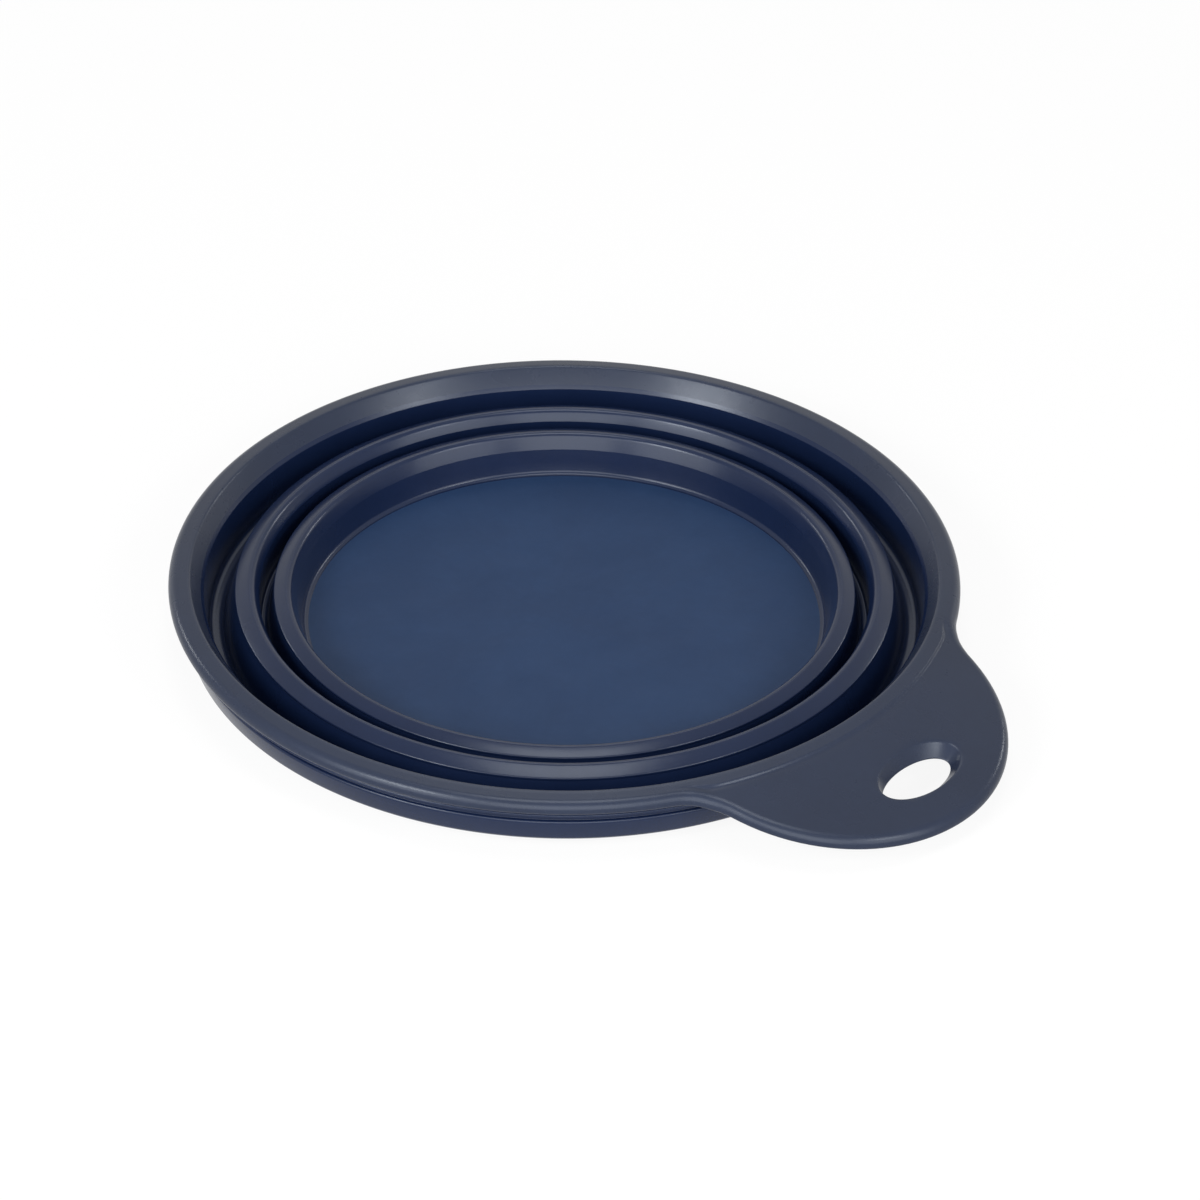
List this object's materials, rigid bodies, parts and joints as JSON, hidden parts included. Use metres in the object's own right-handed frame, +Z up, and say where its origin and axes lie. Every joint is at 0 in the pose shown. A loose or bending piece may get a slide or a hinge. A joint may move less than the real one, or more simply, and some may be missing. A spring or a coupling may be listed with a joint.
{
  "type": "collapsible silicone bowl",
  "caption": "Round silicone bowl that folds flat on itself in rings, with a flat rim and a hanging tab with an oval hole.",
  "frame": {"origin": "middle of the flat underside of the base, on the bowl's axis", "axes": "+Z up along the bowl's axis, +X from the axis towards the hanging tab"},
  "size_m": [0.1625, 0.14, 0.0122],
  "materials": {
    "silicone_floor": "matt navy silicone with a faint mottle",
    "silicone_wall": "satin navy silicone",
    "silicone_rim": "satin greyish navy silicone"
  },
  "bodies": {
    "base": {"bowl_floor": "silicone_floor", "inner_wall": "silicone_wall", "inner_fold": "silicone_wall"},
    "middle": {"middle_wall": "silicone_wall", "outer_fold": "silicone_wall"},
    "rim": {"outer_wall": "silicone_wall", "rim_frame": "silicone_rim"}
  },
  "joints": [
    {"name": "inner_pop", "type": "slide", "parent": "base", "child": "middle", "axis": [0, 0, 1], "range_m": [0, 0.0118], "deforming": ["inner_fold"]},
    {"name": "outer_pop", "type": "slide", "parent": "middle", "child": "rim", "axis": [0, 0, 1], "range_m": [0, 0.013], "deforming": ["outer_fold"]}
  ]
}
